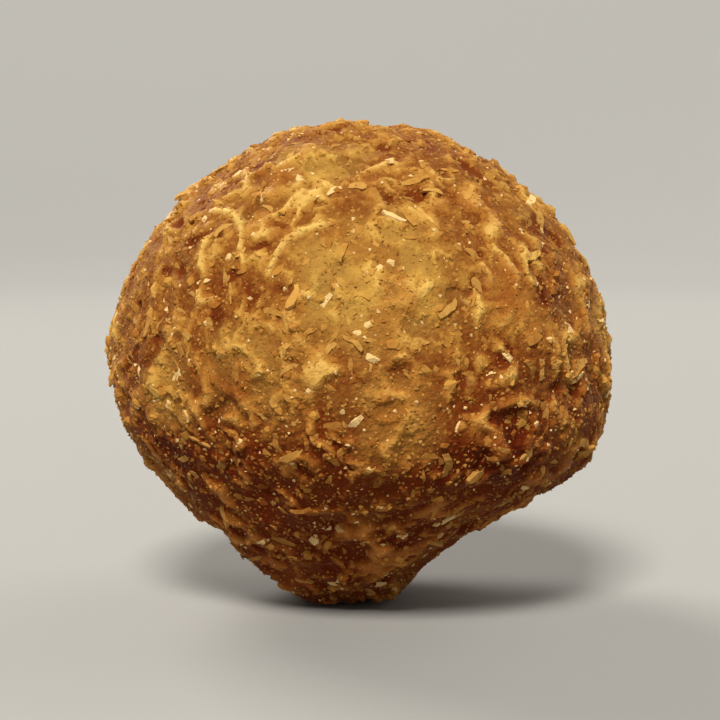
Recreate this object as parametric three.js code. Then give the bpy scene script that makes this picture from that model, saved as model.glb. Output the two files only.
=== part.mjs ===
// A chocolate-covered hazelnut, standing on the small flat spot where its soft coat last rested.
// A roasted kernel sits inside a thick coat of milk chocolate, which was tumbled until nearly round
// and then rolled in cocoa and fine crumbs. Nothing of the inside shows, so the sweet is one solid:
// a round body drawn in towards the kernel's blunt tip, which points down, with the slow swells of
// the tumbled coat and the crags of its crumbs as relief.
//
// Lengths are in millimetres and angles in degrees. X runs from left to right, Y from front to back
// and Z upwards. The origin is in the middle of the body's box, at its underside.

import * as THREE from "three";
import { SimplexNoise } from "three/addons/math/SimplexNoise.js";
import { mergeVertices } from "three/addons/utils/BufferGeometryUtils.js";

// Driving dimensions.
const WIDTH = 24.0; // left to right
const DEPTH = 23.2; // front to back
const HEIGHT = 22.6; // on its flat spot
const PRESSED = 1.65; // how much of the tip is pressed flat
const ROLLED = 0.35; // how far above and below that its edge rolls over

// Towards the tip the body keeps inside a cone. The cone's side faces `lean` below the horizon and
// lies `reach` from its middle. On the right the side leans by `tilt` more and lies `nearer`, and on
// the left the other way round. `round` sets how tightly the body turns into the cone.
const TAPER = { lean: 50, tilt: 12, reach: 9.45, nearer: 0.95, round: 18 };

// The body's swells and hollows. Each fades with the angle from its middle, over `spread`, and
// `height` is how far it lifts the surface. Azimuth 0 is the right side and 90 the back.
const SWELLS = [
  { name: "slope, upper right", azimuth: 4, elevation: 48, spread: 24, height: -0.43 },
  { name: "slope, upper left", azimuth: 176, elevation: 50, spread: 24, height: -0.3 },
  { name: "flat, right side", azimuth: 0, elevation: -13, spread: 12, height: -0.6 },
  { name: "hollow, lower right", azimuth: -4, elevation: -58, spread: 17, height: -1.0 },
  { name: "slope, lower left", azimuth: 180, elevation: -53, spread: 22, height: -0.6 },
  { name: "hollow, left of the tip", azimuth: 183, elevation: -67, spread: 9, height: -0.7 },
  { name: "back shoulder", azimuth: 118, elevation: 26, spread: 26, height: 0.45 },
  { name: "hollow, front left", azimuth: -124, elevation: -8, spread: 17, height: -0.34 },
  { name: "brow, front right", azimuth: -62, elevation: 24, spread: 19, height: 0.3 },
];

// Relief of the coat: the length that each kind repeats over and how far it lifts the surface.
const SWAY = { length: 6.5, height: 0.18 }; // uneven tumbling
const LUMP = { length: 3.4, height: 0.14 }; // soft lumps under the crumbs
const CRAG = { length: 2.2, height: 0.26, level: 0.5 }; // ridges of crumbs, and their usual level
const RUBBED = { length: 7.5, from: 0.05, to: 0.55, left: 0.3 }; // smoother patches, relief left there

const RINGS = 19; // cuts on each edge of the icosahedron: 20 x 20 x 20 triangles
const SAME_POINT = 1e-4; // corners closer than this on the unit sphere are one
const COCOA = { color: 0x9a6430, roughness: 0.9, metalness: 0.0 };

// The noise: its seed, the step from one random number to the next, and the space between layers.
const SEED = 4117;
const NEXT = { times: 1664525, plus: 1013904223, range: 2 ** 32 };
const LAYER_GAP = new THREE.Vector3(17, -9, 5);

// A repeatable stream of numbers from 0 to 1.
function seeded(seed) {
  let state = seed;
  return () => {
    state = (Math.imul(state, NEXT.times) + NEXT.plus) >>> 0;
    return state / NEXT.range;
  };
}

const noise = new SimplexNoise({ random: seeded(SEED) });

// Noise from -1 to 1 that repeats over about `length`; `layer` picks a field of its own.
function field(point, length, layer) {
  const spot = point.clone().divideScalar(length).addScaledVector(LAYER_GAP, layer);
  return noise.noise3d(spot.x, spot.y, spot.z);
}

function directionOf(azimuth, elevation) {
  const around = THREE.MathUtils.degToRad(azimuth);
  const up = THREE.MathUtils.degToRad(elevation);
  return new THREE.Vector3(Math.cos(up) * Math.cos(around), Math.cos(up) * Math.sin(around), Math.sin(up));
}

const swells = SWELLS.map((swell) => ({
  middle: directionOf(swell.azimuth, swell.elevation),
  spread: THREE.MathUtils.degToRad(swell.spread),
  height: swell.height,
}));

// A bell curve: 1 at no distance, fading over `spread`.
function bell(distance, spread) {
  return Math.exp(-((distance / spread) ** 2) / 2);
}

// How far the swells and the hollows lift the surface in a direction.
function swellAt(direction) {
  return swells.reduce(
    (sum, swell) => sum + swell.height * bell(direction.angleTo(swell.middle), swell.spread),
    0,
  );
}

// The share of a point's distance from the middle that is left once the body keeps inside the cone.
function taperAt(point) {
  const direction = point.clone().normalize();
  const side = THREE.MathUtils.degToRad(-TAPER.lean - TAPER.tilt * direction.x);
  const outward = point.length() * Math.max(0, Math.cos(Math.asin(direction.z) - side));
  const reach = TAPER.reach - TAPER.nearer * direction.x;
  return (1 + (outward / reach) ** TAPER.round) ** (-1 / TAPER.round);
}

// How much of the crumb relief is there: 1 on most of the coat, less on a rubbed patch.
function crumbCover(point) {
  const patch = THREE.MathUtils.smoothstep(field(point, RUBBED.length, 1), RUBBED.from, RUBBED.to);
  return THREE.MathUtils.lerp(1, RUBBED.left, patch);
}

// How far the coat's relief lifts the surface at a point of the smooth body.
function reliefAt(point) {
  const sway = SWAY.height * field(point, SWAY.length, 2);
  const lump = LUMP.height * field(point, LUMP.length, 3);
  const ridge = 1 - Math.abs(field(point, CRAG.length, 4));
  const crag = CRAG.height * (ridge ** 2 - CRAG.level);
  return sway + lump + crag * crumbCover(point);
}

// Moves a point of the unit sphere out to the surface of the coat.
function coatPoint(direction) {
  const half = new THREE.Vector3(WIDTH / 2, DEPTH / 2, HEIGHT / 2);
  const body = direction.clone().multiply(half);
  body.multiplyScalar(taperAt(body));
  return body.addScaledVector(direction, swellAt(direction) + reliefAt(body));
}

// A height above the flat spot's plane, once the tip is pressed: flat below it, free above it, and
// eased from one to the other.
function pressedHeight(height) {
  const rolled = THREE.MathUtils.clamp(height + ROLLED, 0, 2 * ROLLED);
  return Math.max(height, rolled ** 2 / (4 * ROLLED));
}

// Presses the lowest part flat, then sizes and places the body on its box.
function settle(points) {
  const plane = Math.min(...points.map((point) => point.z)) + PRESSED;
  points.forEach((point) => {
    point.z = plane + pressedHeight(point.z - plane);
  });
  const box = new THREE.Box3().setFromPoints(points);
  const middle = box.getCenter(new THREE.Vector3());
  const fit = new THREE.Vector3(WIDTH, DEPTH, HEIGHT).divide(box.getSize(new THREE.Vector3()));
  points.forEach((point) => {
    point.sub(new THREE.Vector3(middle.x, middle.y, box.min.z)).multiply(fit);
  });
}

// A closed geodesic sphere with its corners shared between triangles.
function geodesic() {
  const sphere = new THREE.IcosahedronGeometry(1, RINGS);
  sphere.deleteAttribute("normal");
  sphere.deleteAttribute("uv");
  return mergeVertices(sphere, SAME_POINT);
}

function coatedNut() {
  const geometry = geodesic();
  const place = geometry.getAttribute("position");
  const points = Array.from({ length: place.count }, (_, i) =>
    coatPoint(new THREE.Vector3().fromBufferAttribute(place, i).normalize()),
  );
  settle(points);
  points.forEach((point, i) => place.setXYZ(i, point.x, point.y, point.z));
  geometry.computeVertexNormals();
  return geometry;
}

const nut = new THREE.Mesh(coatedNut(), new THREE.MeshStandardMaterial(COCOA));
nut.name = "coated_hazelnut";

const sweet = new THREE.Group();
sweet.add(nut);

export default sweet;
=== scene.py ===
# A chocolate-covered hazelnut: a roasted kernel in a thick coat of milk chocolate, tumbled until
# nearly round and then rolled in cocoa and fine crumbs of chocolate, biscuit and nut. The packed
# solid gives its size and outline, and this script makes its surface. Lengths are in metres.

import math

import bmesh
import bpy
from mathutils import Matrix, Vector


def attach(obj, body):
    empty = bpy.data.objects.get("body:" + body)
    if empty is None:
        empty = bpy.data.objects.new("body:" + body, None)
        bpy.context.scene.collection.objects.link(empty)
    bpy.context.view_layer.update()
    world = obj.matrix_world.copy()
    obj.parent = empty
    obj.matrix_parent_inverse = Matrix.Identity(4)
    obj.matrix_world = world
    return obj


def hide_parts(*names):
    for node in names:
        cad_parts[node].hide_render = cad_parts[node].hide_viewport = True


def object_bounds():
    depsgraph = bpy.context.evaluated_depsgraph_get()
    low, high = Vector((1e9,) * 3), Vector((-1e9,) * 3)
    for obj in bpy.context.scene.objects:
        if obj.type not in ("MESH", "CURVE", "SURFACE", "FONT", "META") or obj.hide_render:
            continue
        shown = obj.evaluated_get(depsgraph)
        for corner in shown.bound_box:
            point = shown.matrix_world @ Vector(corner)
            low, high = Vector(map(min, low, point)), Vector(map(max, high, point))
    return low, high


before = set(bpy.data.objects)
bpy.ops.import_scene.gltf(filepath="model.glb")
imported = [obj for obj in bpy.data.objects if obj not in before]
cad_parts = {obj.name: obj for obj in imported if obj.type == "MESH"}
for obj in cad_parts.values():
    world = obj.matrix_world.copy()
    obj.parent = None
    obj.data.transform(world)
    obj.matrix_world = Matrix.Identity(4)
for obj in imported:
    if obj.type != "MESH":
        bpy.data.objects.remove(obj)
cad_low, cad_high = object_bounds()

# The coat. Soft milk chocolate carries a crust of cocoa and crumbs that was pressed into it as the
# sweet was rolled: short bent ridges and clumps, finer grains between them, pits where a crumb fell
# out, and patches that rubbed nearly smooth in the drum.

MM = 0.001

# How long each kind of relief is and how far it stands out. "Level" is its usual height, which is
# taken off again so that the coat keeps the solid's size.
COAT_SIZES = {
    "Ridge Length": 2.3 * MM,
    "Ridge Height": 0.27 * MM,
    "Strand Length": 1.2 * MM,
    "Strand Height": 0.19 * MM,
    "Clump Length": 1.1 * MM,
    "Clump Height": 0.12 * MM,
    "Grain Length": 0.34 * MM,
    "Grain Height": 0.08 * MM,
    "Pit Length": 1.4 * MM,
    "Pit Depth": 0.17 * MM,
    "Level": 0.13 * MM,
    "Warp Length": 1.3 * MM,
    "Warp": 0.7 * MM,
    "Drift Length": 2.4 * MM,
    "Drift": 4.0 * MM,
    "Patch Length": 5.5 * MM,
    "Patch Relief": 0.5,
    "Seed": 11.0,
}

# The crust's colours: painted shade in its gaps, then on most of it, on its ridges, a painted
# highlight on their crests, then where it turns yellower, with more biscuit dust and, on the upper
# middle, a painted highlight, and where it is rubbed.
PAINTED_GAP_SHADE = (0.145, 0.028, 0.003, 1.0)
COCOA_BROWN = (0.395, 0.180, 0.030, 1.0)
TAN = (0.600, 0.358, 0.084, 1.0)
# A painted highlight for the crests.
PAINTED_CREST_HIGHLIGHT = (0.680, 0.460, 0.130, 1.0)
OCHRE = (0.600, 0.385, 0.078, 1.0)
RUBBED_BROWN = (0.350, 0.125, 0.020, 1.0)

# Long pale strokes on the upper left of the front, each an arc of crumbs, golden patches, the largest
# of them a painted highlight on the upper middle and the others with more biscuit dust, and brown
# ones where the dust is thin. All go by their place as seen from the front: how far right and how
# high. An arc is the side of its circle that faces a way, in degrees up from the right.
ARCS = [
    {"right": -7.0 * MM, "high": 17.0 * MM, "radius": 2.0 * MM, "facing": 40.0},
    {"right": -1.4 * MM, "high": 15.9 * MM, "radius": 2.6 * MM, "facing": 130.0},
]
GOLDEN_PATCHES_AND_HIGHLIGHT = [
    # A painted highlight on the upper middle of the front.
    {"right": 0.5 * MM, "high": 15.8 * MM, "radius": 4.0 * MM},
    {"right": 1.4 * MM, "high": 9.6 * MM, "radius": 2.4 * MM},
    {"right": -2.0 * MM, "high": 20.5 * MM, "radius": 2.4 * MM},
    {"right": -8.8 * MM, "high": 10.8 * MM, "radius": 2.2 * MM},
]
BROWN_PATCHES = [
    {"right": -5.5 * MM, "high": 10.7 * MM, "radius": 1.5 * MM},
    {"right": 8.5 * MM, "high": 15.6 * MM, "radius": 1.9 * MM},
    {"right": -3.5 * MM, "high": 20.3 * MM, "radius": 1.1 * MM},
    {"right": 1.0 * MM, "high": 21.6 * MM, "radius": 1.0 * MM},
    {"right": -8.7 * MM, "high": 7.5 * MM, "radius": 1.4 * MM},
    {"right": 6.5 * MM, "high": 8.2 * MM, "radius": 2.4 * MM},
    {"right": 10.5 * MM, "high": 11.0 * MM, "radius": 2.2 * MM},
]


def plug(tree, value, socket):
    """Links another node's output to a socket, or sets a plain value on it."""
    if isinstance(value, bpy.types.NodeSocket):
        tree.links.new(value, socket)
    else:
        socket.default_value = value


def add(tree, kind, inputs=None, **settings):
    """Adds a node with its settings and its inputs, which go by name or by place."""
    node = tree.nodes.new(kind)
    for name, value in settings.items():
        setattr(node, name, value)
    for name, value in (inputs or {}).items():
        plug(tree, value, node.inputs[name])
    return node


def work_out(tree, operation, *values):
    """One step of arithmetic on numbers."""
    return add(tree, "ShaderNodeMath", dict(enumerate(values)), operation=operation).outputs[0]


def work_out_vector(tree, operation, *values):
    """One step of arithmetic on vectors."""
    return add(tree, "ShaderNodeVectorMath", dict(enumerate(values)), operation=operation).outputs[0]


def scaled(tree, vector, factor):
    """A vector made longer or shorter."""
    node = add(tree, "ShaderNodeVectorMath", {0: vector, "Scale": factor}, operation="SCALE")
    return node.outputs[0]


def ramp(tree, value, start, end, low=0.0, high=1.0):
    """A smooth step: low up to start, high from end."""
    ranges = {"Value": value, "From Min": start, "From Max": end, "To Min": low, "To Max": high}
    return add(tree, "ShaderNodeMapRange", ranges, interpolation_type="SMOOTHSTEP").outputs["Result"]


def noise_at(tree, place, length, seed=0.0, detail=2.0):
    """A node of soft noise from 0 to 1, whose swells are about `length` apart."""
    scale = work_out(tree, "DIVIDE", 1.0, length)
    settings = {"Vector": place, "W": seed, "Scale": scale, "Detail": detail}
    return add(tree, "ShaderNodeTexNoise", settings, noise_dimensions="4D")


def wander(tree, place, length, seed, detail=2.0):
    """A soft random step at each place, up to about half a unit each way."""
    colour = noise_at(tree, place, length, seed, detail).outputs["Color"]
    return work_out_vector(tree, "SUBTRACT", colour, (0.5, 0.5, 0.5))


def stepped(tree, place, step, amount):
    """A place moved by some amount of a step."""
    return work_out_vector(tree, "ADD", place, scaled(tree, step, amount))


def new_tree(name, sizes):
    """An empty Geometry Nodes tree with a named input for each size, and the node that gives them."""
    tree = bpy.data.node_groups.new(name, "GeometryNodeTree")
    tree.interface.new_socket("Geometry", in_out="INPUT", socket_type="NodeSocketGeometry")
    tree.interface.new_socket("Geometry", in_out="OUTPUT", socket_type="NodeSocketGeometry")
    for label in sizes:
        tree.interface.new_socket(label, in_out="INPUT", socket_type="NodeSocketFloat")
    return tree, tree.nodes.new("NodeGroupInput").outputs


def store(tree, geometry, name, value, domain="POINT"):
    """Keeps a number on the mesh under a name, for the materials."""
    inputs = {"Geometry": geometry, "Name": name, "Value": value}
    return add(tree, "GeometryNodeStoreNamedAttribute", inputs, domain=domain).outputs["Geometry"]


def above_floor(tree, geometry):
    """Presses flat whatever would reach below the floor."""
    position = add(tree, "GeometryNodeInputPosition").outputs["Position"]
    apart = add(tree, "ShaderNodeSeparateXYZ", {"Vector": position}).outputs
    height = work_out(tree, "MAXIMUM", apart["Z"], 0.0)
    place = add(tree, "ShaderNodeCombineXYZ", {"X": apart["X"], "Y": apart["Y"], "Z": height})
    inputs = {"Geometry": geometry, "Position": place.outputs["Vector"]}
    return add(tree, "GeometryNodeSetPosition", inputs).outputs["Geometry"]


def end_tree(tree, geometry, material, smooth):
    """Ends a tree: one mesh with its material."""
    mesh = add(tree, "GeometryNodeRealizeInstances", {"Geometry": geometry}).outputs["Geometry"]
    shaded = add(tree, "GeometryNodeSetShadeSmooth", {"Geometry": mesh, "Shade Smooth": smooth})
    dressed = {"Geometry": shaded.outputs["Geometry"], "Material": material}
    coloured = add(tree, "GeometryNodeSetMaterial", dressed)
    add(tree, "NodeGroupOutput", {"Geometry": coloured.outputs["Geometry"]})


def grow(name, mesh, tree, sizes):
    """Runs a tree on a mesh and returns the result as a plain object."""
    maker = bpy.data.objects.new(name + "_maker", mesh)
    bpy.context.scene.collection.objects.link(maker)
    modifier = maker.modifiers.new(tree.name, "NODES")
    modifier.node_group = tree
    for item in tree.interface.items_tree:
        if item.name in sizes:
            modifier[item.identifier] = sizes[item.name]
    graph = bpy.context.evaluated_depsgraph_get()
    made = bpy.data.meshes.new_from_object(
        maker.evaluated_get(graph), preserve_all_data_layers=True, depsgraph=graph
    )
    bpy.data.objects.remove(maker)
    made.name = name
    piece = bpy.data.objects.new(name, made)
    bpy.context.scene.collection.objects.link(piece)
    return piece


def mix_colour(tree, share, first, second, way="MIX"):
    """A blend of two colours."""
    node = add(tree, "ShaderNodeMix", data_type="RGBA", blend_type=way)
    plug(tree, share, node.inputs["Factor"])
    for socket in node.inputs:
        if socket.type == "RGBA":
            plug(tree, first if socket.name == "A" else second, socket)
    return next(socket for socket in node.outputs if socket.type == "RGBA")


def tinted(tree, colour, share, tint):
    """A colour multiplied by a tint, by some share."""
    return mix_colour(tree, share, colour, tint, "MULTIPLY")


def number_on(tree, name):
    """A number kept on the mesh, read by a material."""
    return add(tree, "ShaderNodeAttribute", attribute_name=name).outputs["Fac"]


# Powder gathers in fine specks, which break up whatever a colour goes by.
SPECK_LENGTH = 0.2 * MM


def speckle_at(tree, place):
    """The powder's specks, from 0 to 1."""
    return noise_at(tree, place, SPECK_LENGTH, detail=3.0).outputs["Fac"]


def speckled(tree, value, speckle, strength):
    """A number broken up by specks."""
    specks = work_out(tree, "MULTIPLY", work_out(tree, "SUBTRACT", speckle, 0.5), strength)
    return work_out(tree, "ADD", value, specks)


# Soft patches: the part of the noise that each kind takes up, and its tint.
PATCH_NOISE = {"length": 2.6 * MM, "seed": 5.0}
DARKER = {"noise": (0.38, 0.47), "tint": (0.84, 0.70, 0.64, 1.0)}
PALER = {"noise": (0.54, 0.66), "tint": (1.04, 1.07, 1.09, 1.0)}


def patched(tree, place, colour):
    """Soft patches two or three millimetres wide, where the coat is darker and redder or paler."""
    patch = noise_at(tree, place, PATCH_NOISE["length"], PATCH_NOISE["seed"]).outputs["Fac"]
    colour = tinted(tree, colour, ramp(tree, patch, *DARKER["noise"], 1.0, 0.0), DARKER["tint"])
    return tinted(tree, colour, ramp(tree, patch, *PALER["noise"]), PALER["tint"])


# What the colours go by. Heights are shares of the crust's usual level: low down they take painted
# shade, and high up they turn lighter, partly a painted highlight. Only the crumbs of a paler shade
# turn tan, and the crests' painted highlight, the yellower patches and the rubbed ones are never
# quite covered.
CRUST_SPECKS = 1.1
GAP_SHADE_TO_COCOA = (-1.3, 0.1)
COCOA_TO_TAN = (0.0, 1.0)
TAN_SHADES = (0.15, 0.7)
CREST_HIGHLIGHT = {"crest": (0.4, 1.5), "share": 0.8}
YELLOWER = {"length": 6.0 * MM, "seed": 3.0, "noise": (0.52, 0.72), "share": 0.3}
GOLDEN_AND_HIGHLIGHT_SHARE = 0.4
RUBBED_SHARE = 0.6
BROWN_TINT = (0.66, 0.43, 0.35, 1.0)

# Painted shade towards the tip, which is at the bottom: the heights on the sweet between which the
# coat is painted darker and redder, how far the painted shade of the gaps then climbs out of them,
# and the tint.
PAINTED_LOW_SHADE = {"heights": (4.0 * MM, 15.0 * MM), "climb": 0.6, "tint": (0.80, 0.51, 0.40, 1.0)}


def crust_colour(tree, place):
    """Painted shade in the gaps, tan ridges with painted highlights on their crests, here and there
    yellower, and redder painted shade near the tip.
    """
    height = add(tree, "ShaderNodeSeparateXYZ", {"Vector": place}).outputs["Z"]
    # Painted shade: darker and redder towards the tip, at the bottom.
    painted_low_shade = ramp(tree, height, *PAINTED_LOW_SHADE["heights"], 1.0, 0.0)
    lift = speckled(tree, number_on(tree, "height"), speckle_at(tree, place), CRUST_SPECKS)
    lift = work_out(tree, "MULTIPLY_ADD", painted_low_shade, -PAINTED_LOW_SHADE["climb"], lift)
    # Painted shade: the gaps, low in the relief, are painted dark.
    colour = mix_colour(tree, ramp(tree, lift, *GAP_SHADE_TO_COCOA), PAINTED_GAP_SHADE, COCOA_BROWN)

    pale = ramp(tree, number_on(tree, "shade"), *TAN_SHADES)
    pale = work_out(tree, "MULTIPLY", ramp(tree, lift, *COCOA_TO_TAN), pale)
    colour = mix_colour(tree, pale, colour, TAN)
    # Painted highlight on the crests of the ridges and the pale strokes.
    crest = ramp(tree, number_on(tree, "crest"), *CREST_HIGHLIGHT["crest"], 0.0, CREST_HIGHLIGHT["share"])
    colour = mix_colour(tree, crest, colour, PAINTED_CREST_HIGHLIGHT)

    yellow = noise_at(tree, place, YELLOWER["length"], YELLOWER["seed"], detail=1.0).outputs["Fac"]
    yellow = ramp(tree, yellow, *YELLOWER["noise"], 0.0, YELLOWER["share"])
    # The golden patches, the largest of them a painted highlight on the upper middle.
    golden_and_highlight = work_out(tree, "MULTIPLY", number_on(tree, "golden_and_highlight"), GOLDEN_AND_HIGHLIGHT_SHARE)
    colour = mix_colour(tree, work_out(tree, "MAXIMUM", yellow, golden_and_highlight), colour, OCHRE)
    rubbed = work_out(tree, "MULTIPLY", number_on(tree, "rubbed"), RUBBED_SHARE)
    colour = patched(tree, place, mix_colour(tree, rubbed, colour, RUBBED_BROWN))
    colour = tinted(tree, colour, number_on(tree, "brown"), BROWN_TINT)
    # Painted shade near the tip.
    return tinted(tree, colour, painted_low_shade, PAINTED_LOW_SHADE["tint"])


# The powder's own fine bumps, and how dry it is: a little glossier on the crests, with hardly any
# mirror light, and a faint sheen at its edges.
POWDER = {"length": 0.22 * MM, "detail": 4.0, "depth": 0.16 * MM}
CRUST_ROUGHNESS = {"crest": (0.2, 0.9), "dry": 0.75, "on crests": 0.45}
MIRROR_LIGHT = 0.06
SHEEN = {"Sheen Weight": 0.15, "Sheen Roughness": 0.35, "Sheen Tint": (1.0, 0.7, 0.35, 1.0)}


def crust_material():
    """Dry cocoa and crumbs."""
    material = bpy.data.materials.new("cocoa crust")
    material.use_nodes = True
    tree = material.node_tree
    shader = tree.nodes["Principled BSDF"]
    place = add(tree, "ShaderNodeTexCoord").outputs["Object"]
    plug(tree, crust_colour(tree, place), shader.inputs["Base Color"])

    powder = noise_at(tree, place, POWDER["length"], detail=POWDER["detail"]).outputs["Fac"]
    bump = {"Height": powder, "Strength": 1.0, "Distance": POWDER["depth"]}
    plug(tree, add(tree, "ShaderNodeBump", bump).outputs["Normal"], shader.inputs["Normal"])
    dry_to_crest = (CRUST_ROUGHNESS["dry"], CRUST_ROUGHNESS["on crests"])
    roughness = ramp(tree, number_on(tree, "crest"), *CRUST_ROUGHNESS["crest"], *dry_to_crest)
    plug(tree, roughness, shader.inputs["Roughness"])
    shader.inputs["Specular IOR Level"].default_value = MIRROR_LIGHT
    for name, value in SHEEN.items():
        shader.inputs[name].default_value = value
    return material


def on_front(right, high):
    """The point on the front of the coat's rounded body that is seen at a place."""
    middle = (cad_low + cad_high) / 2
    half = (cad_high - cad_low) / 2
    out = 1.0 - (right / half.x) ** 2 - ((high - middle.z) / half.z) ** 2
    return (right, -half.y * math.sqrt(max(out, 0.0)), high)


def way_from(tree, place, mark):
    """The way from a marked place to each point of the coat, and how long it is."""
    away = work_out_vector(tree, "SUBTRACT", place, on_front(mark["right"], mark["high"]))
    length = add(tree, "ShaderNodeVectorMath", {0: away}, operation="LENGTH").outputs["Value"]
    return away, length


# An arc's line: full up to the first distance from its circle and gone by the second, and drawn
# only on the side that it faces. Noise about a usual value makes it thick and thin by turns.
ARC_LINE = (0.05 * MM, 0.35 * MM)
ARC_SIDE = (0.4, 0.7)
ARC_UNEVEN = {"length": 0.8 * MM, "seed": 2.0, "usual": 0.45, "amount": 0.5 * MM}


def arcs(tree, place):
    """The long pale strokes: 1 along each arc, 0 elsewhere."""
    uneven = noise_at(tree, place, ARC_UNEVEN["length"], ARC_UNEVEN["seed"]).outputs["Fac"]
    uneven = work_out(tree, "SUBTRACT", uneven, ARC_UNEVEN["usual"])
    total = 0.0
    for arc in ARCS:
        away, length = way_from(tree, place, arc)
        off = work_out(tree, "ABSOLUTE", work_out(tree, "SUBTRACT", length, arc["radius"]))
        off = work_out(tree, "MULTIPLY_ADD", uneven, ARC_UNEVEN["amount"], off)
        turn = math.radians(arc["facing"])
        facing = (math.cos(turn) / arc["radius"], 0.0, math.sin(turn) / arc["radius"])
        ahead = add(tree, "ShaderNodeVectorMath", {0: away, 1: facing}, operation="DOT_PRODUCT")
        side = ramp(tree, ahead.outputs["Value"], *ARC_SIDE)
        line = work_out(tree, "MULTIPLY", ramp(tree, off, *ARC_LINE, 1.0, 0.0), side)
        total = work_out(tree, "MAXIMUM", total, line)
    return total


# How far out a marked patch is full and how far out it has faded, in parts of its radius.
PATCH_EDGE = (0.4, 1.2)


def patches(tree, place, marks):
    """1 inside each marked patch, fading over its edge, and 0 elsewhere."""
    total = 0.0
    for mark in marks:
        _, length = way_from(tree, place, mark)
        full, gone = (part * mark["radius"] for part in PATCH_EDGE)
        total = work_out(tree, "MAXIMUM", total, ramp(tree, length, full, gone, 1.0, 0.0))
    return total


# A ridge runs where noise passes its middle value, no further from it than this, and other noise,
# from a seed further on, leaves gaps in it.
RIDGE_FOLD = 0.08
RIDGE_GAPS = (0.42, 0.62)
GAP_SEED = 40.0


def strokes(tree, place, length, seed):
    """Thin bent ridges, broken into short strokes: 1 along a ridge, 0 beside it."""
    swell = noise_at(tree, place, length, seed, detail=1.0).outputs["Fac"]
    fold = work_out(tree, "ABSOLUTE", work_out(tree, "SUBTRACT", swell, 0.5))
    line = ramp(tree, fold, 0.0, RIDGE_FOLD, 1.0, 0.0)
    further_on = work_out(tree, "ADD", seed, GAP_SEED)
    gaps = noise_at(tree, place, length, further_on, detail=1.0).outputs["Fac"]
    return work_out(tree, "MULTIPLY", line, ramp(tree, gaps, *RIDGE_GAPS))


# A crumb's dome is full near its middle and gone by its edge, and the lowest crumb has this height.
DOME = (0.05, 0.7)
LOWEST_CRUMB = 0.2


def clumps(tree, place, length, seed):
    """Crumbs packed side by side: how high each stands, from 0 to 1, and a number of its own."""
    scale = work_out(tree, "DIVIDE", 1.0, length)
    inputs = {"Vector": place, "W": seed, "Scale": scale}
    cells = add(tree, "ShaderNodeTexVoronoi", inputs, voronoi_dimensions="4D").outputs
    own = add(tree, "FunctionNodeSeparateColor", {"Color": cells["Color"]}).outputs
    dome = ramp(tree, cells["Distance"], *DOME, 1.0, 0.0)
    height = ramp(tree, own["Red"], 0.0, 1.0, LOWEST_CRUMB, 1.0)
    return work_out(tree, "MULTIPLY", dome, height), own["Green"]


# Two rounds of subdivision make 24 triangles of each of the solid's. Where ridges or clumps meet,
# they melt into each other over a small height. A pit deepens as its noise falls from the second
# value to the first, and a patch is rubbed as its noise rises from the first to the second.
SUBDIVISIONS = 2
MELT = 0.05 * MM
PIT_NOISE = (0.32, 0.42)
RUBBED_NOISE = (0.6, 0.74)

# The pale strokes bend less than the other ridges, stand a little lower and carry more painted
# highlight on their crests.
ARC_BEND = 0.25 * MM
ARC_HEIGHT = 0.8
ARC_CREST = 1.3
RIDGE_CREST = 0.8


def crust_relief(tree, size, place, high):
    """How far the crust stands out: ridges, strands and clumps melted together, grains and pits."""
    part = {kind: work_out(tree, "MULTIPLY", high[kind], size[kind + " Height"]) for kind in high}
    relief = work_out(tree, "SMOOTH_MAX", part["Ridge"], part["Strand"], MELT)
    relief = work_out(tree, "SMOOTH_MAX", relief, part["Clump"], MELT)
    relief = work_out(tree, "ADD", part["Grain"], relief)
    hollow = noise_at(tree, place, size["Pit Length"], size["Seed"], detail=1.0).outputs["Fac"]
    pit = work_out(tree, "MULTIPLY", ramp(tree, hollow, *PIT_NOISE, 1.0, 0.0), size["Pit Depth"])
    return work_out(tree, "SUBTRACT", work_out(tree, "SUBTRACT", relief, pit), size["Level"])


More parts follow.
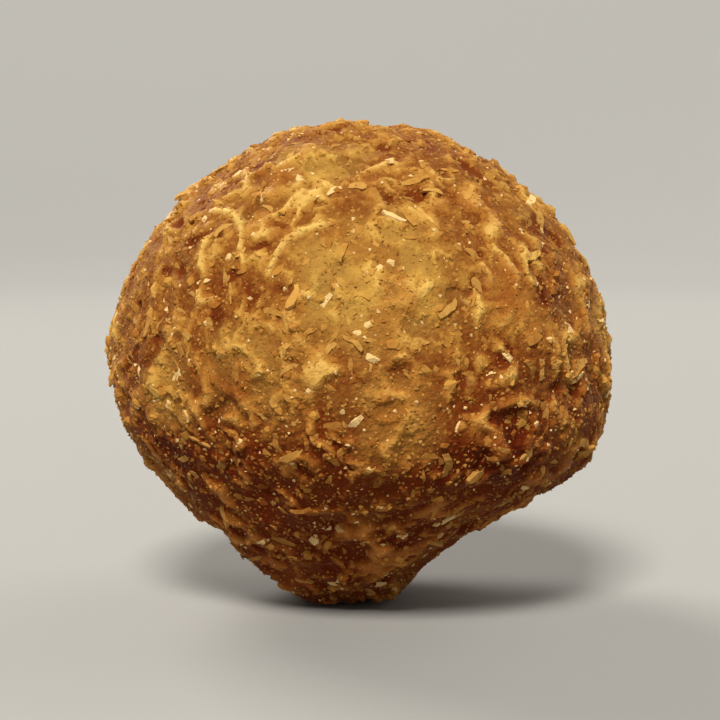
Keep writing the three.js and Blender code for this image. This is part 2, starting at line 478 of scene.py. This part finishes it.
def crust_tree(material):
    """The solid's own shape, made fine, with the crust's relief."""
    tree, size = new_tree("crumb crust", COAT_SIZES)
    seed = size["Seed"]
    finer = {"Mesh": size["Geometry"], "Level": SUBDIVISIONS}
    body = add(tree, "GeometryNodeSubdivisionSurface", finer)
    position = add(tree, "GeometryNodeInputPosition").outputs["Position"]

    # Every pattern is read at a warped place, so that no ridge is straight and no crumb round.
    bend = wander(tree, position, size["Warp Length"], seed)
    place = stepped(tree, position, bend, size["Warp"])
    arc = arcs(tree, stepped(tree, position, bend, ARC_BEND))
    ridge = strokes(tree, place, size["Ridge Length"], seed)
    ridge = work_out(tree, "MAXIMUM", ridge, work_out(tree, "MULTIPLY", arc, ARC_HEIGHT))
    strand = strokes(tree, place, size["Strand Length"], seed)
    clump, clump_shade = clumps(tree, place, size["Clump Length"], seed)
    grain, grain_shade = clumps(tree, place, size["Grain Length"], seed)
    high = {"Ridge": ridge, "Strand": strand, "Clump": clump, "Grain": grain}
    relief = crust_relief(tree, size, place, high)

    patch = noise_at(tree, position, size["Patch Length"], seed, detail=1.0).outputs["Fac"]
    rubbed = ramp(tree, patch, *RUBBED_NOISE)
    left = ramp(tree, rubbed, 0.0, 1.0, 1.0, size["Patch Relief"])
    relief = work_out(tree, "MULTIPLY", relief, left)

    half_shade = work_out(tree, "MULTIPLY", grain_shade, 0.5)
    shade = work_out(tree, "MULTIPLY_ADD", clump_shade, 0.5, half_shade)
    drift = wander(tree, position, size["Drift Length"], seed)
    drifted = stepped(tree, position, drift, size["Drift"])
    # The crests' mark gives them a painted highlight and a little gloss.
    crest = work_out(tree, "MULTIPLY", work_out(tree, "MAXIMUM", ridge, strand), RIDGE_CREST)
    numbers = {
        "height": work_out(tree, "DIVIDE", relief, size["Level"]),
        "shade": work_out(tree, "MAXIMUM", shade, ridge),
        "rubbed": rubbed,
        "golden_and_highlight": patches(tree, drifted, GOLDEN_PATCHES_AND_HIGHLIGHT),
        "brown": patches(tree, drifted, BROWN_PATCHES),
        "crest": work_out(tree, "MAXIMUM", crest, work_out(tree, "MULTIPLY", arc, ARC_CREST)),
    }
    coat = body.outputs["Mesh"]
    for name, value in numbers.items():
        coat = store(tree, coat, name, value)

    normal = add(tree, "GeometryNodeInputNormal").outputs["Normal"]
    lifted = {"Geometry": coat, "Offset": scaled(tree, normal, relief)}
    moved = add(tree, "GeometryNodeSetPosition", lifted).outputs["Geometry"]
    end_tree(tree, above_floor(tree, moved), material, True)
    return tree


# The solid's mesh is loose triangles. Its copy is joined up before it is made fine.
SAME_POINT = 0.001 * MM

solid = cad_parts["coated_hazelnut"].data.copy()
joined = bmesh.new()
joined.from_mesh(solid)
bmesh.ops.remove_doubles(joined, verts=joined.verts, dist=SAME_POINT)
joined.to_mesh(solid)
joined.free()

coat = grow("crumb_coat", solid, crust_tree(crust_material()), COAT_SIZES)
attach(coat, "root")
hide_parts("coated_hazelnut")

# The loose crumbs. Crumbs that only just caught in the crust lie on it: bent flakes of biscuit and
# roasted nut up to a millimetre or so long, chips of the coat's own chocolate, and fine grains of
# cocoa that gathered between them.

FLAKE_SIZES = {
    "Crumbs per Square Metre": 0.9e6,
    "Spacing": 0.5 * MM,
    "Length": 0.85 * MM,
    "Width": 0.24 * MM,
    "Thickness": 0.2 * MM,
    "Least": 0.5,
    "Tilt": 0.14,
    "Sink": 0.08 * MM,
    "Roughen": 0.3 * MM,
    "Roughen Length": 0.35 * MM,
    "Share on Patches": 0.25,
    "Seed": 3.0,
}
CHIP_SIZES = {
    "Crumbs per Square Metre": 3.4e6,
    "Spacing": 0.25 * MM,
    "Length": 0.5 * MM,
    "Width": 0.4 * MM,
    "Thickness": 0.27 * MM,
    "Least": 0.4,
    "Tilt": 0.4,
    "Sink": 0.1 * MM,
    "Roughen": 0.3 * MM,
    "Roughen Length": 0.3 * MM,
    "Share on Patches": 0.12,
    "Seed": 5.0,
}
GRAIN_SIZES = {
    "Crumbs per Square Metre": 2.0e7,
    "Spacing": 0.16 * MM,
    "Length": 0.24 * MM,
    "Width": 0.2 * MM,
    "Thickness": 0.17 * MM,
    "Least": 0.5,
    "Tilt": 1.0,
    "Sink": 0.03 * MM,
    "Roughen": 0.1 * MM,
    "Roughen Length": 0.16 * MM,
    "Share on Patches": 0.5,
    "Seed": 7.0,
}


def shift_by_noise(tree, geometry, amount, length, seed):
    """Moves every corner by soft noise, so that no two crumbs are alike."""
    position = add(tree, "GeometryNodeInputPosition").outputs["Position"]
    shift = scaled(tree, wander(tree, position, length, seed, detail=1.0), amount)
    inputs = {"Geometry": geometry, "Offset": shift}
    return add(tree, "GeometryNodeSetPosition", inputs).outputs["Geometry"]


def random_number(tree, low, high, seed):
    """A random number for each crumb."""
    inputs = {"Min": low, "Max": high, "Seed": seed}
    return add(tree, "FunctionNodeRandomValue", inputs).outputs["Value"]


# How fast a flake narrows towards its ends, and the sideways bends that there are to pick from.
NARROWING = 1.8
FLAKE_BENDS = (-1.8, -0.7, 0.4, 1.2)


def sliver(tree, hook):
    """A flat flake, a unit long and lying along X, narrow at its ends and bent sideways by `hook`."""
    block = {"Size": (1.0, 1.0, 1.0), "Vertices X": 6, "Vertices Y": 2, "Vertices Z": 2}
    block = add(tree, "GeometryNodeMeshCube", block).outputs["Mesh"]
    position = add(tree, "GeometryNodeInputPosition").outputs["Position"]
    apart = add(tree, "ShaderNodeSeparateXYZ", {"Vector": position}).outputs
    along = work_out(tree, "MULTIPLY", apart["X"], apart["X"])
    narrow = work_out(tree, "MULTIPLY_ADD", along, -NARROWING, 1.0)
    side = work_out(tree, "MULTIPLY", apart["Y"], narrow)
    side = work_out(tree, "MULTIPLY_ADD", along, hook, side)
    thick = work_out(tree, "MULTIPLY", apart["Z"], narrow)
    place = add(tree, "ShaderNodeCombineXYZ", {"X": apart["X"], "Y": side, "Z": thick})
    inputs = {"Geometry": block, "Position": place.outputs["Vector"]}
    return add(tree, "GeometryNodeSetPosition", inputs).outputs["Geometry"]


def flakes(tree):
    """Flakes with different bends, to pick from."""
    kinds = add(tree, "GeometryNodeJoinGeometry").inputs["Geometry"]
    for hook in FLAKE_BENDS:
        kind = add(tree, "GeometryNodeGeometryToInstance", {"Geometry": sliver(tree, hook)})
        tree.links.new(kind.outputs["Instances"], kinds)
    return kinds.node.outputs["Geometry"]


def chips(tree):
    """A plain chip, a unit wide, with twenty faces."""
    ball = add(tree, "GeometryNodeMeshIcoSphere", {"Radius": 0.5, "Subdivisions": 1}).outputs["Mesh"]
    return add(tree, "GeometryNodeGeometryToInstance", {"Geometry": ball}).outputs["Instances"]


def grains(tree):
    """A grain, a unit wide, with eight faces."""
    block = {"Radius": 0.5, "Segments": 4, "Rings": 2}
    block = add(tree, "GeometryNodeMeshUVSphere", block).outputs["Mesh"]
    return add(tree, "GeometryNodeGeometryToInstance", {"Geometry": block}).outputs["Instances"]


# No crumb lies under the foot. The largest crumb is this many times its kind's size, and each side
# then varies by itself. Every random draw for a crumb has a seed of its own.
LOWEST_SPOT = 0.3 * MM
LARGEST = 1.3
SIDE_VARIES = (0.7, 1.3)
TILT_SEEDS = (21, 22)
TURN_SEED = 23
SIZE_SEED = 24
SIDES = (("X", "Length", 25), ("Y", "Width", 26), ("Z", "Thickness", 27))
SHADE_SEED = 28


def crumb_spots(tree, size):
    """Where the crumbs lie: spread over the coat, fewer on its rubbed patches and none below."""
    position = add(tree, "GeometryNodeInputPosition").outputs["Position"]
    height = add(tree, "ShaderNodeSeparateXYZ", {"Vector": position}).outputs["Z"]
    rubbed = add(tree, "GeometryNodeInputNamedAttribute", {"Name": "rubbed"}).outputs["Attribute"]
    spread = {
        "Mesh": size["Geometry"],
        "Selection": work_out(tree, "GREATER_THAN", height, LOWEST_SPOT),
        "Distance Min": size["Spacing"],
        "Density Max": size["Crumbs per Square Metre"],
        "Density Factor": ramp(tree, rubbed, 0.0, 1.0, 1.0, size["Share on Patches"]),
        "Seed": size["Seed"],
    }
    kind = "GeometryNodeDistributePointsOnFaces"
    return add(tree, kind, spread, distribute_method="POISSON").outputs


def crumb_lie(tree, size, spots):
    """How each crumb lies: flat on the coat, but for a small tilt and a turn of its own."""
    least = work_out(tree, "MULTIPLY", size["Tilt"], -1.0)
    tilts = [random_number(tree, least, size["Tilt"], seed) for seed in TILT_SEEDS]
    around = random_number(tree, 0.0, math.tau, TURN_SEED)
    turn = add(tree, "ShaderNodeCombineXYZ", {"X": tilts[0], "Y": tilts[1], "Z": around})
    turn = add(tree, "FunctionNodeEulerToRotation", {"Euler": turn.outputs["Vector"]})
    turned = {"Rotation": spots["Rotation"], "Rotate By": turn.outputs["Rotation"]}
    return add(tree, "FunctionNodeRotateRotation", turned, rotation_space="LOCAL").outputs["Rotation"]


def crumb_size(tree, size):
    """Each crumb's length, width and thickness."""
    grown = random_number(tree, size["Least"], LARGEST, SIZE_SEED)
    across = add(tree, "ShaderNodeCombineXYZ")
    for axis, label, seed in SIDES:
        own = work_out(tree, "MULTIPLY", grown, random_number(tree, *SIDE_VARIES, seed))
        plug(tree, work_out(tree, "MULTIPLY", size[label], own), across.inputs[axis])
    return across.outputs["Vector"]


def scatter_tree(name, sizes, material, shapes):
    """Crumbs strewn over the coat, each laid on it at a turn of its own and partly sunk in."""
    tree, size = new_tree(name, sizes)
    spots = crumb_spots(tree, size)
    inward = scaled(tree, spots["Normal"], work_out(tree, "MULTIPLY", size["Sink"], -1.0))
    sunk = add(tree, "GeometryNodeSetPosition", {"Geometry": spots["Points"], "Offset": inward})
    laid = {
        "Points": sunk.outputs["Geometry"],
        "Instance": shapes(tree),
        "Pick Instance": True,
        "Rotation": crumb_lie(tree, size, spots),
        "Scale": crumb_size(tree, size),
    }
    crumbs = add(tree, "GeometryNodeInstanceOnPoints", laid).outputs["Instances"]
    crumbs = store(tree, crumbs, "own", random_number(tree, 0.0, 1.0, SHADE_SEED), "INSTANCE")
    loose = add(tree, "GeometryNodeRealizeInstances", {"Geometry": crumbs}).outputs["Geometry"]
    loose = shift_by_noise(tree, loose, size["Roughen"], size["Roughen Length"], size["Seed"])
    end_tree(tree, above_floor(tree, loose), material, False)
    return tree


# A crumb's own colour makes up this share, and the crust's the rest. Its specks are faint. About one
# crumb in sixteen is a painted glint: a painted highlight in a pale colour, which makes up most of
# it.
OWN_SHARE = 0.5
CRUMB_SPECKS = {"strength": 0.8, "bump": 0.5, "depth": 0.05 * MM}
PAINTED_GLINTS = {"own": (0.935, 0.945), "share": 0.75, "colour": (0.740, 0.530, 0.240, 1.0)}


def crumb_material(name, dark, light, roughness):
    """A dry crumb: a shade of its own between two colours, dusted with the crust that it lies on, and
    now and then a painted glint.
    """
    material = bpy.data.materials.new(name)
    material.use_nodes = True
    tree = material.node_tree
    shader = tree.nodes["Principled BSDF"]
    place = add(tree, "ShaderNodeTexCoord").outputs["Object"]
    own = number_on(tree, "own")
    speckle = speckle_at(tree, place)
    shade = speckled(tree, own, speckle, CRUMB_SPECKS["strength"])
    colour = mix_colour(tree, ramp(tree, shade, 0.0, 1.0), dark, light)
    colour = mix_colour(tree, OWN_SHARE, crust_colour(tree, place), colour)
    # Painted glints: a few crumbs painted pale.
    pale = ramp(tree, own, *PAINTED_GLINTS["own"], 0.0, PAINTED_GLINTS["share"])
    colour = mix_colour(tree, pale, colour, PAINTED_GLINTS["colour"])
    plug(tree, colour, shader.inputs["Base Color"])
    bump = {"Height": speckle, "Strength": CRUMB_SPECKS["bump"], "Distance": CRUMB_SPECKS["depth"]}
    plug(tree, add(tree, "ShaderNodeBump", bump).outputs["Normal"], shader.inputs["Normal"])
    shader.inputs["Roughness"].default_value = roughness
    shader.inputs["Specular IOR Level"].default_value = MIRROR_LIGHT
    return material


CRUMB_KINDS = {
    "pale_flakes": {
        "sizes": FLAKE_SIZES,
        "shapes": flakes,
        "dark": (0.420, 0.190, 0.034, 1.0),
        "light": (0.620, 0.370, 0.095, 1.0),
        "roughness": 0.8,
    },
    "chocolate_chips": {
        "sizes": CHIP_SIZES,
        "shapes": chips,
        "dark": (0.280, 0.090, 0.013, 1.0),
        "light": (0.520, 0.275, 0.055, 1.0),
        "roughness": 0.85,
    },
    "cocoa_grains": {
        "sizes": GRAIN_SIZES,
        "shapes": grains,
        "dark": (0.260, 0.078, 0.011, 1.0),
        "light": (0.580, 0.330, 0.075, 1.0),
        "roughness": 0.9,
    },
}
for name, kind in CRUMB_KINDS.items():
    finish = crumb_material(name.replace("_", " "), kind["dark"], kind["light"], kind["roughness"])
    strewn = scatter_tree(name, kind["sizes"], finish, kind["shapes"])
    crumbs = grow(name, coat.data, strewn, kind["sizes"])
    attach(crumbs, "root")

# The floor. A plain pale floor bends up all round into a wall. Its bend is so wide that no horizon
# shows behind the sweet.

FLOOR = {"radius": 0.30, "bend": 0.25, "wall": 0.26, "steps": 8, "sides": 96}
FLOOR_SEAM = 0.01 * MM  # points nearer than this are one
PALE_GREY = (0.29, 0.29, 0.285, 1.0)
FLOOR_ROUGHNESS = 0.9


def floor_material():
    """Matt pale grey."""
    material = bpy.data.materials.new("pale floor")
    material.use_nodes = True
    shader = material.node_tree.nodes["Principled BSDF"]
    shader.inputs["Base Color"].default_value = PALE_GREY
    shader.inputs["Roughness"].default_value = FLOOR_ROUGHNESS
    return material


def floor_outline():
    """Half of the floor's section: flat, a quarter-round bend and an upright wall."""
    outline = [(0.0, 0.0)]
    for step in range(FLOOR["steps"] + 1):
        turn = math.pi / 2 * step / FLOOR["steps"]
        out = FLOOR["radius"] + FLOOR["bend"] * math.sin(turn)
        outline.append((out, FLOOR["bend"] * (1 - math.cos(turn))))
    outline.append((FLOOR["radius"] + FLOOR["bend"], FLOOR["wall"]))
    return outline


def floor_mesh():
    """The section turned about the upright axis, with its seam and its middle joined up."""
    built = bmesh.new()
    corners = [built.verts.new((out, 0.0, up)) for out, up in floor_outline()]
    edges = [built.edges.new(pair) for pair in zip(corners, corners[1:])]
    turn = {"cent": (0, 0, 0), "axis": (0, 0, 1), "angle": math.tau, "steps": FLOOR["sides"]}
    bmesh.ops.spin(built, geom=corners + edges, **turn)
    bmesh.ops.remove_doubles(built, verts=built.verts, dist=FLOOR_SEAM)
    bmesh.ops.recalc_face_normals(built, faces=built.faces)
    for face in built.faces:
        face.smooth = True
    mesh = bpy.data.meshes.new("floor")
    built.to_mesh(mesh)
    built.free()
    return mesh


floor = bpy.data.objects.new("floor", floor_mesh())
floor.data.materials.append(floor_material())
bpy.context.scene.collection.objects.link(floor)

# The light. A soft lamp stands high in front, two behind edge the sweet with light, and a weak one
# is turned on the wall at the back. The surround is dim.

WARM = (1.0, 0.95, 0.86)
NEARLY_WHITE = (1.0, 0.98, 0.95)
SURROUND = {"colour": (1.0, 0.93, 0.86, 1.0), "strength": 0.045}


def lamp(name, aim, offset, width, power, colour):
    """A square soft lamp that stands off from a point and is aimed at it."""
    light = bpy.data.lights.new(name, "AREA")
    light.size = width
    light.energy = power
    light.color = colour
    holder = bpy.data.objects.new(name, light)
    bpy.context.scene.collection.objects.link(holder)
    holder.location = [start + step for start, step in zip(aim, offset)]
    holder.rotation_euler = (aim - holder.location).to_track_quat("-Z", "Y").to_euler()


middle = (cad_low + cad_high) / 2
back_wall = Vector((0.0, 0.54, 0.1))
lamp("key", middle, offset=(-0.39, -2.04, 2.43), width=0.9, power=150.0, colour=WARM)
lamp("rim", middle, offset=(1.2, 1.0, 1.0), width=1.6, power=18.0, colour=WARM)
lamp("edge", middle, offset=(-0.8, 1.3, 1.0), width=0.8, power=36.0, colour=WARM)
lamp("wall", back_wall, offset=(0.0, -0.3, 0.25), width=0.3, power=0.5, colour=NEARLY_WHITE)

world = bpy.data.worlds.new("surround")
world.use_nodes = True
background = world.node_tree.nodes["Background"]
background.inputs["Color"].default_value = SURROUND["colour"]
background.inputs["Strength"].default_value = SURROUND["strength"]
bpy.context.scene.world = world
bpy.context.scene.view_settings.view_transform = "Standard"

# The camera. It looks at the sweet from nearly level, as in the photograph, through a long lens,
# from as far off as makes the sweet fill its share of the frame's width.

CAMERA = {"lens": 100.0, "sensor": 36.0, "nearest": 0.005, "elevation": 5.0, "share_of_frame": 0.7}

eye = bpy.data.objects.new("camera", bpy.data.cameras.new("camera"))
eye.data.lens = CAMERA["lens"]
eye.data.sensor_width = CAMERA["sensor"]
eye.data.clip_start = CAMERA["nearest"]
bpy.context.scene.collection.objects.link(eye)
half_view = CAMERA["sensor"] / 2 / CAMERA["lens"]
distance = (cad_high.x - cad_low.x) / 2 / CAMERA["share_of_frame"] / half_view
rise = math.radians(CAMERA["elevation"])
eye.location = middle
eye.location.y -= distance * math.cos(rise)
eye.location.z += distance * math.sin(rise)
eye.rotation_euler = (middle - eye.location).to_track_quat("-Z", "Y").to_euler()
bpy.context.scene.camera = eye
